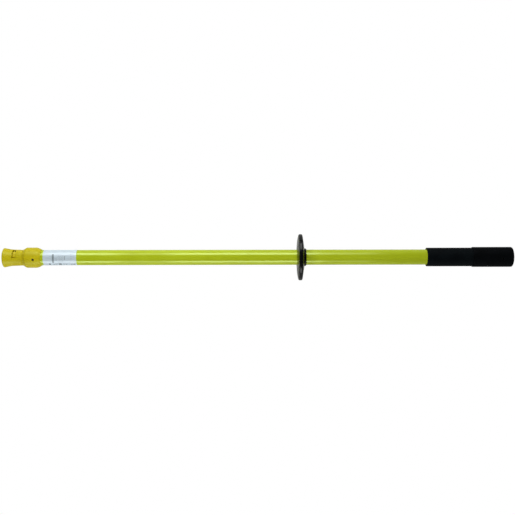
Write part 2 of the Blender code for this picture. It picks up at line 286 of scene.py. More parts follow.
@dataclass(frozen=True)
class PultrudedGlassFibre(Finish):
    """Glass rovings pulled through a hot die in pigmented resin: gloss, with fine lengthwise fibres.

    The fibres lie just under a thin skin of resin. They leave lengthwise streaks of a lighter colour
    and a faint lengthwise ripple that spreads a highlight round the tube and not along it. A real
    streak is 0.3 mm wide, and it is drawn at 0.8 mm, so that it shows.
    """

    colour: str = "#b6c614"
    light: str = "#c2d424"
    tint: str = "#e6ffb4"
    roughness: float = 0.13
    specular: float = 0.75
    streak: float = 0.8 * MM
    streak_length: float = 90.0 * MM
    streak_from: float = 0.12
    streak_to: float = 0.42
    ripple: float = 0.05 * MM
    ripple_strength: float = 0.20
    blush: float = 60.0 * MM
    blush_glossier: float = 0.02
    blush_duller: float = 0.03
    ior: float = 1.55

    def nodes(self, tree: bpy.types.NodeTree, place: bpy.types.NodeSocket) -> bpy.types.Node:
        """Adds fibre streaks, a slow change of depth in the resin and a lengthwise ripple.

        Args:
            tree: The material's node tree.
            place: The Object coordinates.

        Returns:
            The shader node.
        """
        along = add_node(
            tree,
            "ShaderNodeMapping",
            {"Vector": place, "Scale": (self.streak / self.streak_length, 1.0, 1.0)},
        )
        fibres = add_node(
            tree,
            "ShaderNodeTexNoise",
            {
                "Vector": along.outputs["Vector"],
                "Scale": 1 / self.streak,
                "Detail": 4.0,
                "Roughness": 0.65,
            },
        )
        depth = add_node(
            tree, "ShaderNodeTexNoise", {"Vector": place, "Scale": 1 / self.blush, "Detail": 2.0}
        )
        share = add_node(
            tree,
            "ShaderNodeMath",
            {0: fibres.outputs["Fac"], 1: depth.outputs["Fac"]},
            operation="MULTIPLY",
        )
        mixed = add_node(
            tree,
            "ShaderNodeMapRange",
            {
                "Value": share.outputs["Value"],
                "From Min": self.streak_from,
                "From Max": self.streak_to,
            },
        )
        colour = add_node(
            tree,
            "ShaderNodeMix",
            {0: mixed.outputs["Result"], MIX_A: linear(self.colour), MIX_B: linear(self.light)},
            data_type="RGBA",
        )
        roughness = add_node(
            tree,
            "ShaderNodeMapRange",
            {
                "Value": depth.outputs["Fac"],
                "To Min": self.roughness - self.blush_glossier,
                "To Max": self.roughness + self.blush_duller,
            },
        )
        bump = add_node(
            tree,
            "ShaderNodeBump",
            {
                "Height": fibres.outputs["Fac"],
                "Strength": self.ripple_strength,
                "Distance": self.ripple,
            },
        )
        return add_node(
            tree,
            "ShaderNodeBsdfPrincipled",
            {
                "Base Color": colour.outputs[MIX_RESULT],
                "Roughness": roughness.outputs["Result"],
                "IOR": self.ior,
                "Specular IOR Level": self.specular,
                "Specular Tint": linear(self.tint),
                "Normal": bump.outputs["Normal"],
            },
        )


@dataclass(frozen=True)
class MouldedRubber(Finish):
    """Black rubber or soft PVC out of a satin mould: almost no colour, and a dim, wide sheen.

    Talc and handling leave a faint cloudy bloom in the sheen. The mould's grain is drawn at 1.2 mm.
    """

    colour: str = "#080c0f"
    bloom: str = "#0c1215"
    roughness: float = 0.55
    specular: float = 0.04
    grain: float = 1.2 * MM
    cloud: float = 22.0 * MM
    cloud_from: float = 0.4
    cloud_to: float = 0.7
    cloud_glossier: float = 0.03
    cloud_duller: float = 0.08
    relief: float = 0.10 * MM
    relief_strength: float = 0.25
    ior: float = 1.52

    def nodes(self, tree: bpy.types.NodeTree, place: bpy.types.NodeSocket) -> bpy.types.Node:
        """Adds the bloom, the mould's grain and a roughness that follows the bloom.

        Args:
            tree: The material's node tree.
            place: The Object coordinates.

        Returns:
            The shader node.
        """
        clouds = add_node(
            tree,
            "ShaderNodeTexNoise",
            {"Vector": place, "Scale": 1 / self.cloud, "Detail": 4.0, "Roughness": 0.6},
        )
        grain = add_node(
            tree,
            "ShaderNodeTexNoise",
            {"Vector": place, "Scale": 1 / self.grain, "Detail": 2.0, "Roughness": 0.7},
        )
        share = add_node(
            tree,
            "ShaderNodeMapRange",
            {
                "Value": clouds.outputs["Fac"],
                "From Min": self.cloud_from,
                "From Max": self.cloud_to,
            },
        )
        colour = add_node(
            tree,
            "ShaderNodeMix",
            {0: share.outputs["Result"], MIX_A: linear(self.colour), MIX_B: linear(self.bloom)},
            data_type="RGBA",
        )
        roughness = add_node(
            tree,
            "ShaderNodeMapRange",
            {
                "Value": share.outputs["Result"],
                "To Min": self.roughness - self.cloud_glossier,
                "To Max": self.roughness + self.cloud_duller,
            },
        )
        bump = add_node(
            tree,
            "ShaderNodeBump",
            {
                "Height": grain.outputs["Fac"],
                "Strength": self.relief_strength,
                "Distance": self.relief,
            },
        )
        return add_node(
            tree,
            "ShaderNodeBsdfPrincipled",
            {
                "Base Color": colour.outputs[MIX_RESULT],
                "Roughness": roughness.outputs["Result"],
                "IOR": self.ior,
                "Specular IOR Level": self.specular,
                "Normal": bump.outputs["Normal"],
            },
        )


@dataclass(frozen=True)
class DrawnSteel(Finish):
    """Plain or zinc-plated steel, drawn or rolled: grey, with fine marks along its length.

    The marks are drawn 0.4 mm apart, which is about three times as coarse as the real ones.
    """

    colour: str = "#b9babc"
    dull: str = "#97999b"
    roughness: float = 0.30
    mark: float = 0.4 * MM
    mark_glossier: float = 0.06
    mark_duller: float = 0.10
    relief: float = 0.03 * MM
    relief_strength: float = 0.15
    stretch: tuple[float, float, float] = (0.05, 1.0, 1.0)

    def nodes(self, tree: bpy.types.NodeTree, place: bpy.types.NodeSocket) -> bpy.types.Node:
        """Adds drawing marks, in the colour, the roughness and the relief.

        Args:
            tree: The material's node tree.
            place: The Object coordinates.

        Returns:
            The shader node.
        """
        along = add_node(tree, "ShaderNodeMapping", {"Vector": place, "Scale": self.stretch})
        marks = add_node(
            tree,
            "ShaderNodeTexNoise",
            {"Vector": along.outputs["Vector"], "Scale": 1 / self.mark, "Detail": 3.0},
        )
        colour = add_node(
            tree,
            "ShaderNodeMix",
            {0: marks.outputs["Fac"], MIX_A: linear(self.colour), MIX_B: linear(self.dull)},
            data_type="RGBA",
        )
        roughness = add_node(
            tree,
            "ShaderNodeMapRange",
            {
                "Value": marks.outputs["Fac"],
                "To Min": self.roughness - self.mark_glossier,
                "To Max": self.roughness + self.mark_duller,
            },
        )
        bump = add_node(
            tree,
            "ShaderNodeBump",
            {
                "Height": marks.outputs["Fac"],
                "Strength": self.relief_strength,
                "Distance": self.relief,
            },
        )
        return add_node(
            tree,
            "ShaderNodeBsdfPrincipled",
            {
                "Base Color": colour.outputs[MIX_RESULT],
                "Roughness": roughness.outputs["Result"],
                "Metallic": 1.0,
                "Normal": bump.outputs["Normal"],
            },
        )


@dataclass(frozen=True)
class ClosedCellFoam(Finish):
    """Polyurethane foam grown inside the tube: pale amber, with cells 0.6 mm across."""

    colour: str = "#e0cd9c"
    cell_wall: str = "#c7ae74"
    cell: float = 0.6 * MM
    pit_strength: float = 0.8
    roughness: float = 0.85
    ior: float = 1.5

    def nodes(self, tree: bpy.types.NodeTree, place: bpy.types.NodeSocket) -> bpy.types.Node:
        """Adds the cells as pits with darker walls.

        Args:
            tree: The material's node tree.
            place: The Object coordinates.

        Returns:
            The shader node.
        """
        cells = add_node(
            tree,
            "ShaderNodeTexVoronoi",
            {"Vector": place, "Scale": 1 / self.cell},
            feature="DISTANCE_TO_EDGE",
        )
        colour = add_node(
            tree,
            "ShaderNodeMix",
            {
                0: cells.outputs["Distance"],
                MIX_A: linear(self.cell_wall),
                MIX_B: linear(self.colour),
            },
            data_type="RGBA",
        )
        bump = add_node(
            tree,
            "ShaderNodeBump",
            {
                "Height": cells.outputs["Distance"],
                "Strength": self.pit_strength,
                "Distance": self.cell / 2,
            },
            invert=True,
        )
        return add_node(
            tree,
            "ShaderNodeBsdfPrincipled",
            {
                "Base Color": colour.outputs[MIX_RESULT],
                "Roughness": self.roughness,
                "IOR": self.ior,
                "Normal": bump.outputs["Normal"],
            },
        )


@dataclass(frozen=True)
class PrintedBlock:
    """A rectangle of print on the label, in metres along it and round it from its middle line.

    A block of words breaks up into word-like bars of the given length and line height; a word length
    of zero prints it solid. The strength is the ink's share, from 0 to 1.
    """

    along: float
    around: float
    half_length: float
    half_height: float
    strength: float
    word: float = 0.0
    line: float = 0.0


# The row of print along the label's lower edge
LOW_ROW = {"around": -15.6 * MM, "half_height": 2.8 * MM, "line": 2.8 * MM}
PRINT = (
    PrintedBlock(20.0 * MM, -2.2 * MM, 1.8 * MM, 9.0 * MM, 0.60),
    PrintedBlock(25.4 * MM, -4.0 * MM, 3.0 * MM, 3.0 * MM, 0.50, 2.6 * MM, 1.8 * MM),
    PrintedBlock(35.0 * MM, -2.8 * MM, 5.0 * MM, 7.6 * MM, 0.32, 3.4 * MM, 2.2 * MM),
    PrintedBlock(42.8 * MM, -0.8 * MM, 1.1 * MM, 3.6 * MM, 0.34),
    PrintedBlock(55.6 * MM, -1.0 * MM, 2.0 * MM, 8.0 * MM, 0.50, 2.0 * MM, 2.6 * MM),
    PrintedBlock(along=12.7 * MM, half_length=1.8 * MM, strength=0.75, **LOW_ROW),
    PrintedBlock(along=23.4 * MM, half_length=4.6 * MM, strength=0.85, word=4.2 * MM, **LOW_ROW),
    PrintedBlock(along=33.0 * MM, half_length=2.8 * MM, strength=0.7, **LOW_ROW),
    PrintedBlock(along=43.0 * MM, half_length=4.6 * MM, strength=0.8, word=3.6 * MM, **LOW_ROW),
    PrintedBlock(along=57.6 * MM, half_length=5.6 * MM, strength=0.75, word=4.8 * MM, **LOW_ROW),
)


@dataclass(frozen=True)
class PrintedSilverFilm(Finish):
    """Silver polyester film, printed in dark ink under a clear layer: bright grey with a satin gloss.

    The print is plain bars and blocks. It follows the film's own UV map, which runs from 0 to 1 along
    the label and round it.
    """

    length: float = 65.3 * MM
    girth: float = 94.5 * MM
    film: str = "#dbeaf2"
    cool: str = "#cfdfe8"
    ink: str = "#2a3f42"
    faint_ink: tuple[float, float, float, float] = (0.55, 0.55, 0.55, 1.0)
    word_stagger: float = 0.37
    word_squash: float = 0.7
    squashed_line: int = 3
    wrinkle: float = 9.0 * MM
    relief: float = 0.08 * MM
    relief_strength: float = 0.2
    roughness: float = 0.38
    metallic: float = 0.12
    ior: float = 1.5
    blocks: tuple[PrintedBlock, ...] = PRINT

    def block_mask(
        self, tree: bpy.types.NodeTree, flat: bpy.types.NodeSocket, block: PrintedBlock
    ) -> bpy.types.NodeSocket:
        """Makes a mask that is 1 where a block prints.

        Args:
            tree: The material's node tree.
            flat: The place on the label in metres.
            block: The block to print.

        Returns:
            The mask's socket.
        """
        centred = add_node(
            tree,
            "ShaderNodeVectorMath",
            {0: flat, 1: (block.along, block.around, 0.0)},
            operation="SUBTRACT",
        )
        size = add_node(
            tree,
            "ShaderNodeVectorMath",
            {0: centred.outputs["Vector"]},
            operation="ABSOLUTE",
        )
        parts = add_node(tree, "ShaderNodeSeparateXYZ", {"Vector": size.outputs["Vector"]})
        inside_x = add_node(
            tree,
            "ShaderNodeMath",
            {0: parts.outputs["X"], 1: block.half_length},
            operation="LESS_THAN",
        )
        inside_y = add_node(
            tree,
            "ShaderNodeMath",
            {0: parts.outputs["Y"], 1: block.half_height},
            operation="LESS_THAN",
        )
        inside = add_node(
            tree,
            "ShaderNodeMath",
            {0: inside_x.outputs["Value"], 1: inside_y.outputs["Value"]},
            operation="MULTIPLY",
        )
        mask = add_node(
            tree,
            "ShaderNodeMath",
            {0: inside.outputs["Value"], 1: block.strength},
            operation="MULTIPLY",
        )
        if not block.word:
            return mask.outputs["Value"]
        words = add_node(
            tree,
            "ShaderNodeTexBrick",
            {
                "Vector": centred.outputs["Vector"],
                "Color1": WHITE,
                "Color2": self.faint_ink,
                "Mortar": BLACK,
                "Scale": 1.0,
                "Mortar Size": block.line / 4,
                "Mortar Smooth": 0.0,
                "Brick Width": block.word,
                "Row Height": block.line,
            },
            offset=self.word_stagger,
            squash=self.word_squash,
            squash_frequency=self.squashed_line,
        )
        printed = add_node(
            tree,
            "ShaderNodeMath",
            {0: mask.outputs["Value"], 1: words.outputs["Color"]},
            operation="MULTIPLY",
        )
        return printed.outputs["Value"]

    def nodes(self, tree: bpy.types.NodeTree, place: bpy.types.NodeSocket) -> bpy.types.Node:
        """Adds the film's cool cast, the print and the faint wrinkles of a film wrapped by hand.

        Args:
            tree: The material's node tree.
            place: The Object coordinates.

        Returns:
            The shader node.
        """
        map_place = add_node(tree, "ShaderNodeUVMap", uv_map="film")
        flat = add_node(
            tree,
            "ShaderNodeMapping",
            {
                "Vector": map_place.outputs["UV"],
                "Location": (0.0, -self.girth / 2, 0.0),
                "Scale": (self.length, self.girth, 1.0),
            },
        )
        wrinkles = add_node(
            tree,
            "ShaderNodeTexNoise",
            {"Vector": place, "Scale": 1 / self.wrinkle, "Detail": 2.0},
        )
        film = add_node(
            tree,
            "ShaderNodeMix",
            {0: wrinkles.outputs["Fac"], MIX_A: linear(self.film), MIX_B: linear(self.cool)},
            data_type="RGBA",
        )
        printed = None
        for block in self.blocks:
            mask = self.block_mask(tree, flat.outputs["Vector"], block)
            if printed is None:
                printed = mask
                continue
            both = add_node(tree, "ShaderNodeMath", {0: printed, 1: mask}, operation="MAXIMUM")
            printed = both.outputs["Value"]
        colour = add_node(
            tree,
            "ShaderNodeMix",
            {0: printed, MIX_A: film.outputs[MIX_RESULT], MIX_B: linear(self.ink)},
            data_type="RGBA",
        )
        bump = add_node(
            tree,
            "ShaderNodeBump",
            {
                "Height": wrinkles.outputs["Fac"],
                "Strength": self.relief_strength,
                "Distance": self.relief,
            },
        )
        return add_node(
            tree,
            "ShaderNodeBsdfPrincipled",
            {
                "Base Color": colour.outputs[MIX_RESULT],
                "Roughness": self.roughness,
                "Metallic": self.metallic,
                "IOR": self.ior,
                "Normal": bump.outputs["Normal"],
            },
        )


# ---------------------------------------------------------------- shapes


@dataclass(frozen=True)
class Corner:
    """A corner of a turned outline, with the size of its rounding."""

    station: float
    radius: float
    rounding: float = 0.0
    segments: int = 3


def run_between(start: Corner, end: Corner, steps: int, steep: bool) -> list[Corner]:
    """Lays corners along a smooth change of radius, both ends included.

    Args:
        start: Where the run starts.
        end: Where it ends.
        steps: How many straight pieces the run has.
        steep: True for a run that is level at its start and steep at its end, False for an S.

    Returns:
        The corners from start to end.
    """
    corners = []
    for i in range(steps + 1):
        share = i / steps
        blend = 1 - math.cos(math.pi / 2 * share) if steep else (1 - math.cos(math.pi * share)) / 2
        corners.append(
            Corner(
                start.station + (end.station - start.station) * share,
                start.radius + (end.radius - start.radius) * blend,
            )
        )
    return corners


def held(outline: Sequence[Corner], ring: bool) -> list[Corner]:
    """Adds a plain corner just past each rounding, which keeps the shading of the long faces level.

    Args:
        outline: The corners in order.
        ring: True where the last corner joins the first.

    Returns:
        The corners with the added ones.
    """
    corners = []
    followers = [*outline[1:], outline[0] if ring else None]
    for start, end in zip(outline, followers):
        corners.append(start)
        if end is None:
            continue
        run = math.hypot(end.station - start.station, end.radius - start.radius)
        near = start.rounding + HOLD
        far = end.rounding + HOLD
        if run < HOLD_ROOM * (near + far):
            continue
        for corner, reach in ((start, near), (end, run - far)):
            if corner.rounding:
                share = reach / run
                corners.append(
                    Corner(
                        start.station + (end.station - start.station) * share,
                        start.radius + (end.radius - start.radius) * share,
                    )
                )
    return corners


def spun(
    outline: Sequence[Corner], sides: int, ring: bool = False, sweep: float = math.tau
) -> bmesh.types.BMesh:
    """Spins an outline about the stick's axis.

    Args:
        outline: The corners in order, with stations from the mouth of the coupling.
        sides: How many steps the spin has.
        ring: True where the last corner joins the first; otherwise both lie on the axis.
        sweep: The angle that it is spun through; a part turn is closed with its own section.

    Returns:
        The closed shape.
    """
    outline = held(outline, ring)
    bm = bmesh.new()
    verts = [bm.verts.new((MOUTH + corner.station, 0.0, corner.radius)) for corner in outline]
    for pair in zip(verts, verts[1:]):
        bm.edges.new(pair)
    if ring:
        bm.edges.new((verts[-1], verts[0]))
    for vert, corner in zip(verts, outline):
        if corner.rounding:
            bmesh.ops.bevel(
                bm,
                geom=[vert],
                offset=corner.rounding,
                offset_type="OFFSET",
                affect="VERTICES",
                segments=corner.segments,
                profile=0.5,
                material=-1,
            )
    part_turn = sweep < math.tau
    if part_turn:
        bmesh.ops.contextual_create(bm, geom=bm.edges[:])
    bmesh.ops.spin(
        bm,
        geom=bm.verts[:] + bm.edges[:] + bm.faces[:],
        cent=(0.0, 0.0, 0.0),
        axis=ALONG,
        angle=sweep,
        steps=sides,
        use_merge=not part_turn,
    )
    bmesh.ops.remove_doubles(bm, verts=bm.verts[:], dist=WELD)
    bmesh.ops.recalc_face_normals(bm, faces=bm.faces[:])
    return bm


def block(size: Sequence[float], centre: Sequence[float]) -> bmesh.types.BMesh:
    """Makes a box.

    Args:
        size: Its x, y and z sizes.
        centre: Its middle.

    Returns:
        The closed shape.
    """
    bm = bmesh.new()
    bmesh.ops.create_cube(bm, size=1.0)
    bmesh.ops.scale(bm, vec=size, verts=bm.verts[:])
    bmesh.ops.translate(bm, vec=centre, verts=bm.verts[:])
    return bm


def placed(bm: bmesh.types.BMesh, station: float, turn: float) -> bmesh.types.BMesh:
    """Rolls a shape about the stick and moves it along.

    Args:
        bm: The shape, made with +Z outwards from the stick.
        station: How far along X it moves.
        turn: How far its +Z turns towards +Y.

    Returns:
        The same shape.
    """
    matrix = Matrix.Translation(ALONG * station) @ Matrix.Rotation(-turn, 4, "X")
    bmesh.ops.transform(bm, matrix=matrix, verts=bm.verts[:])
    return bm


def stood_up(bm: bmesh.types.BMesh) -> bmesh.types.BMesh:
    """Turns a shape that lies along X to stand along Z."""
    bmesh.ops.rotate(
        bm, cent=(0.0, 0.0, 0.0), matrix=Matrix.Rotation(-math.pi / 2, 3, "Y"), verts=bm.verts[:]
    )
    return bm


def centred(bm: bmesh.types.BMesh) -> bmesh.types.BMesh:
    """Moves a spun shape from the mouth to the origin, so that its stations count from there."""
    bmesh.ops.translate(bm, vec=ALONG * -MOUTH, verts=bm.verts[:])
    return bm


def carved(base: bmesh.types.BMesh, *tools: bmesh.types.BMesh) -> bmesh.types.BMesh:
    """Takes each tool's volume out of a shape.

    Args:
        base: The shape, which is used up.
        *tools: The shapes to take out of it, which are used up.

    Returns:
        A new shape.
    """
    helpers = []
    for bm in (base, *tools):
        mesh = bpy.data.meshes.new("carving")
        bm.to_mesh(mesh)
        bm.free()
        helper = bpy.data.objects.new("carving", mesh)
        bpy.context.scene.collection.objects.link(helper)
        helpers.append(helper)
    for tool in helpers[1:]:
        cut = helpers[0].modifiers.new("cut", "BOOLEAN")
        cut.operation = "DIFFERENCE"
        cut.solver = "EXACT"
        cut.object = tool
    graph = bpy.context.evaluated_depsgraph_get()
    graph.update()
    result = bmesh.new()
    result.from_object(helpers[0], graph)
    for helper in helpers:
        mesh = helper.data
        bpy.data.objects.remove(helper)
        bpy.data.meshes.remove(mesh)
    bmesh.ops.remove_doubles(result, verts=result.verts[:], dist=WELD)
    bmesh.ops.recalc_face_normals(result, faces=result.faces[:])
    return result


def soften(
    bm: bmesh.types.BMesh, width: float, sharper_than: float, low: Vector, high: Vector
) -> None:
    """Rounds the sharp edges of a shape that lie wholly in a box.

    Args:
        bm: The shape.
        width: The rounding's size.
        sharper_than: The least angle between the two faces, in degrees.
        low: The box's lowest corner.
        high: The box's highest corner.
    """
    least = math.radians(sharper_than)

    def inside(vert: bmesh.types.BMVert) -> bool:
        """Whether a vertex lies in the box."""
        return all(low[i] <= vert.co[i] <= high[i] for i in range(3))

    sharp = [
        edge
        for edge in bm.edges
        if edge.is_manifold
        and edge.calc_face_angle(0.0) > least
        and all(inside(vert) for vert in edge.verts)
    ]
    bmesh.ops.bevel(
        bm,
        geom=sharp,
        offset=width,
        offset_type="OFFSET",
        affect="EDGES",
        segments=2,
        profile=0.5,
        clamp_overlap=True,
        material=-1,
    )


def make_piece(
    bm: bmesh.types.BMesh,
    name: str,
    finish: Finish,
    slot: Slot,
    *nodes: str,
    body: Body = Body.STICK,
    sharp_angle: float = 32.0,
) -> bpy.types.Object:
    """Turns a finished shape into a piece of the stick.

    Args:
        bm: The shape, in its place; it is used up.
        name: The piece's name.
        finish: Its finish.
        slot: The record's material slot that the finish belongs to; it is not used.
        *nodes: The CAD nodes that it stands for.
        body: The body that it rides on.
        sharp_angle: Edges sharper than this, in degrees, are shaded as edges.

    Returns:
        The piece.
    """
    mesh = bpy.data.meshes.new(name)
    bm.to_mesh(mesh)
    bm.free()
    mesh.shade_smooth()
    mesh.set_sharp_from_angle(angle=math.radians(sharp_angle))
    piece = bpy.data.objects.new(name, mesh)
    bpy.context.scene.collection.objects.link(piece)
    mesh.materials.append(finish.material())
    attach(piece, body.value)
    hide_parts(*nodes)
    log.info("%s: %d faces, stands for %s", name, len(mesh.polygons), ", ".join(nodes))
    return piece


def dress_node(node: str, finish: Finish) -> None:
    """Gives a CAD node that stays its finish.

    Args:
        node: The node's name.
        finish: The finish.
    """
    obj = frame["nodes"][node]
    obj.data.materials.clear()
    obj.data.materials.append(finish.material())
    log.info("%s: CAD mesh in %s", node, finish.name)


def middle_of(node: str) -> Vector:
    """The middle of a CAD node's box."""
    low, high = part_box(node)
    return (low + high) / 2


# ---------------------------------------------------------------- the stick


@dataclass
class CrossPin:
    """A slotted spring pin through the stick, and the hole that it sits in.

    surface is the radius of the outside that the hole opens on.
    """

    node: str
    length: float
    surface: float
    finish: Finish
    turn: float = math.radians(-13)
    radius: float = 2.2 * MM
    bore: float = 1.3 * MM
    chamfer: float = 0.35 * MM
    slit: float = math.radians(40)
    clearance: float = 0.3 * MM
    countersink: float = 0.5 * MM
    overreach: float = 4.0 * MM
    sides: int = 36

    def hole(self) -> bmesh.types.BMesh:
        """The shape of the hole, with a small countersink where it meets the surface.

        Returns:
            The closed shape, in its place, to take out of what the pin crosses.
        """
        radius = self.radius + self.clearance
        reach = self.surface + self.overreach
        widest = radius + self.countersink + self.overreach
        depth = self.surface - self.countersink
        outline = [
            Corner(-reach, 0.0),
            Corner(-reach, widest),
            Corner(-depth, radius),
            Corner(depth, radius),
            Corner(reach, widest),
            Corner(reach, 0.0),
        ]
        shape = stood_up(centred(spun(outline, self.sides)))
        return placed(shape, middle_of(self.node).x, self.turn)

    def build(self) -> None:
        """Builds the pin: a rolled sheet with a slit and chamfered ends."""
        half = self.length / 2
        outline = [
            Corner(-half, self.bore),
            Corner(-half, self.radius, self.chamfer, 2),
            Corner(half, self.radius, self.chamfer, 2),
            Corner(half, self.bore),
        ]
        shape = spun(outline, self.sides, ring=True, sweep=math.tau - self.slit)
        bmesh.ops.rotate(
            shape,
            cent=(0.0, 0.0, 0.0),
            matrix=Matrix.Rotation(self.slit / 2 + math.pi, 3, "X"),
            verts=shape.verts[:],
        )
        shape = placed(stood_up(centred(shape)), middle_of(self.node).x, self.turn)
        make_piece(shape, self.node + "_rolled", self.finish, Slot.PIN, self.node)


@dataclass
class Latch:
    """The sprung plate that holds a tool head's shank: a ring plate with a ridged thumb pad."""

    finish: Finish
    spring_finish: Finish
    pin_finish: Finish
    thickness: float = 5.0 * MM
    half_width: float = 8.4 * MM
    pad_radius: float = 15.5 * MM
    foot: float = -8.3 * MM
    window_half_width: float = 6.6 * MM
    window_tooth: float = -5.6 * MM
    window_top: float = 9.6 * MM
    window_rounding: float = 1.6 * MM
    window_segments: int = 6
    ridge_pitch: float = 1.3 * MM
    ridge_height: float = 0.3 * MM
    notch_low: float = 1.7 * MM
    notch_high: float = 6.3 * MM
    notch_depth: float = 0.8 * MM
    edge: float = 0.3 * MM
    edge_angle: float = 50.0
    sides: int = 120
    end_recess: float = 4.2 * MM
    end_recess_floor: float = 10.8 * MM
    foot_recess: float = 7.2 * MM
    foot_recess_floor: float = 11.4 * MM
    slot_length: float = 7.2 * MM
    slot_half_width: float = 8.8 * MM
    slot_floor: float = -11.6 * MM
    slot_top: float = 25.0 * MM
    slot_offset: float = -0.7 * MM
    leaf_thickness: float = 0.4 * MM
    leaf_half_length: float = 7.6 * MM
    leaf_width: float = 4.0 * MM
    leaf_foot: float = -11.3 * MM
    leaf_rise: float = 2.3 * MM
    leaf_steps: int = 28
    leaf_pressed_share: float = 0.25
    keeper_radius: float = 1.0 * MM
    keeper_clearance: float = 0.3 * MM
    keeper_across: float = 8.9 * MM
    keeper_height: float = 3.0 * MM
    keeper_chamfer: float = 0.25 * MM
    keeper_lead: float = 4.5 * MM
    keeper_sides: int = 32
    turn: float = field(init=False)
    station: float = field(init=False)

    def __post_init__(self) -> None:
        """Reads the latch's direction from its joint and its place from its plate."""
        axis = Vector(frame["joints"][0]["axis"])
        self.turn = math.atan2(-axis.y, -axis.z)
        self.station = middle_of("latch_plate").x

    def slot(self) -> bmesh.types.BMesh:
        """The shape of the slot across the coupling.

        Returns:
            The closed shape, in its place.
        """
        height = self.slot_top - self.slot_floor
        size = (self.slot_length, 2 * self.slot_half_width, height)
        middle = (self.slot_offset, 0.0, self.slot_floor + height / 2)
        return placed(block(size, middle), self.station, self.turn)

    def keeper_rod(self, radius: float, low: float, high: float) -> bmesh.types.BMesh:
        """Makes a rod where the keeper pin lies.

        Args:
            radius: Its radius.
            low: Its start along X.
            high: Its end along X.

        Returns:
            The closed shape, with chamfered ends.
        """
        outline = [
            Corner(low - self.station, 0.0),
            Corner(low - self.station, radius, self.keeper_chamfer, 2),
            Corner(high - self.station, radius, self.keeper_chamfer, 2),
            Corner(high - self.station, 0.0),
        ]
        shape = centred(spun(outline, self.keeper_sides))
        across = (0.0, self.keeper_across, self.keeper_height)
        bmesh.ops.translate(shape, vec=across, verts=shape.verts[:])
        return placed(shape, self.station, self.turn)

    def keeper_hole(self) -> bmesh.types.BMesh:
        """The drilled hole that the keeper pin is pushed into from the funnel.

        Returns:
            The closed shape, in its place.
        """
        low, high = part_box("latch_keeper_pin")
        gap = self.keeper_clearance
        start = low.x - self.keeper_lead
        return self.keeper_rod(self.keeper_radius + gap, start, high.x + gap)

    def window(self) -> bmesh.types.BMesh:
        """The shape of the plate's window, whose lower edge is the tooth that holds the shank.

        Returns:
            The closed shape, with the plate's middle at the origin.
        """
        height = self.window_top - self.window_tooth
        size = (2 * self.thickness, 2 * self.window_half_width, height)
        shape = block(size, (0.0, 0.0, self.window_tooth + height / 2))
        long_edges = [e for e in shape.edges if abs(e.verts[0].co.x - e.verts[1].co.x) > WELD]
        bmesh.ops.bevel(
            shape,
            geom=long_edges,
            offset=self.window_rounding,
            offset_type="OFFSET",
            affect="EDGES",
            segments=self.window_segments,
            profile=0.5,
            material=-1,
        )
        return shape

    def pad_recesses(self) -> list[bmesh.types.BMesh]:
        """The steps down at the two ends of the thumb pad, as shapes to take out of the plate.

        Returns:
            The closed shapes, with the plate's middle at the origin.
        """
        recesses = []
        for side, start, floor in (
            (1, self.end_recess, self.end_recess_floor),
            (-1, self.foot_recess, self.foot_recess_floor),
        ):
            reach = 2 * self.half_width
            size = (2 * self.thickness, reach, reach)
            middle = (0.0, side * (start + reach / 2), floor + reach / 2)
            recesses.append(block(size, middle))
        return recesses

    def plate(self) -> bmesh.types.BMesh:
        """The plate: a turned disc with ridges round it, cut flat on three sides and pierced.

        Returns:
            The closed shape, in its place.
        """
        half = self.thickness / 2
        outline = [Corner(-half, 0.0), Corner(-half, self.pad_radius)]
        for ridge in (-1, 0, 1):
            middle = ridge * self.ridge_pitch
            flank = self.ridge_pitch / 3
            crest = self.pad_radius + self.ridge_height
            outline.append(Corner(middle - flank, self.pad_radius))
            outline.append(Corner(middle, crest, flank / 2, 3))
            outline.append(Corner(middle + flank, self.pad_radius))
        outline += [Corner(half, self.pad_radius), Corner(half, 0.0)]
        shape = centred(spun(outline, self.sides))
        sides = (
            ((0.0, self.half_width, 0.0), (0.0, 1.0, 0.0)),
            ((0.0, -self.half_width, 0.0), (0.0, -1.0, 0.0)),
            ((0.0, 0.0, self.foot), (0.0, 0.0, -1.0)),
        )
        for point, normal in sides:
            cut = bmesh.ops.bisect_plane(
                shape,
                geom=shape.verts[:] + shape.edges[:] + shape.faces[:],
                plane_co=point,
                plane_no=normal,
                clear_outer=True,
            )
            rim = [item for item in cut["geom_cut"] if isinstance(item, bmesh.types.BMEdge)]
            bmesh.ops.holes_fill(shape, edges=rim, sides=0)
        notch_size = (
            2 * self.thickness,
            2 * self.notch_depth,
            self.notch_high - self.notch_low,
        )
        notch_middle = (0.0, self.half_width, (self.notch_high + self.notch_low) / 2)
        shape = carved(
            shape, self.window(), block(notch_size, notch_middle), *self.pad_recesses()
        )
        reach = 2 * self.pad_radius
        everywhere = Vector((reach, reach, reach))
        soften(shape, self.edge, self.edge_angle, -everywhere, everywhere)
        return placed(shape, self.station, self.turn)

    def leaf(self) -> bmesh.types.BMesh:
        """The leaf spring: a strip bowed up between the slot's floor and the plate's foot.

        Returns:
            The closed shape, in its place.
        """
        shape = bmesh.new()
        bmesh.ops.create_grid(shape, x_segments=2, y_segments=self.leaf_steps, size=1.0)
        bmesh.ops.scale(
            shape, vec=(self.leaf_width / 2, self.leaf_half_length, 1.0), verts=shape.verts[:]
        )
        for vert in shape.verts:
            share = vert.co.y / self.leaf_half_length
            vert.co.z = self.leaf_foot + self.leaf_rise * math.cos(math.pi / 2 * share)
        bmesh.ops.recalc_face_normals(shape, faces=shape.faces[:])
        bmesh.ops.solidify(shape, geom=shape.faces[:], thickness=self.leaf_thickness)
        bmesh.ops.recalc_face_normals(shape, faces=shape.faces[:])
        lowest = min(vert.co.z for vert in shape.verts)
        bmesh.ops.translate(
            shape, vec=(0.0, 0.0, self.leaf_foot - lowest), verts=shape.verts[:]
        )
        return placed(shape, self.station, self.turn)

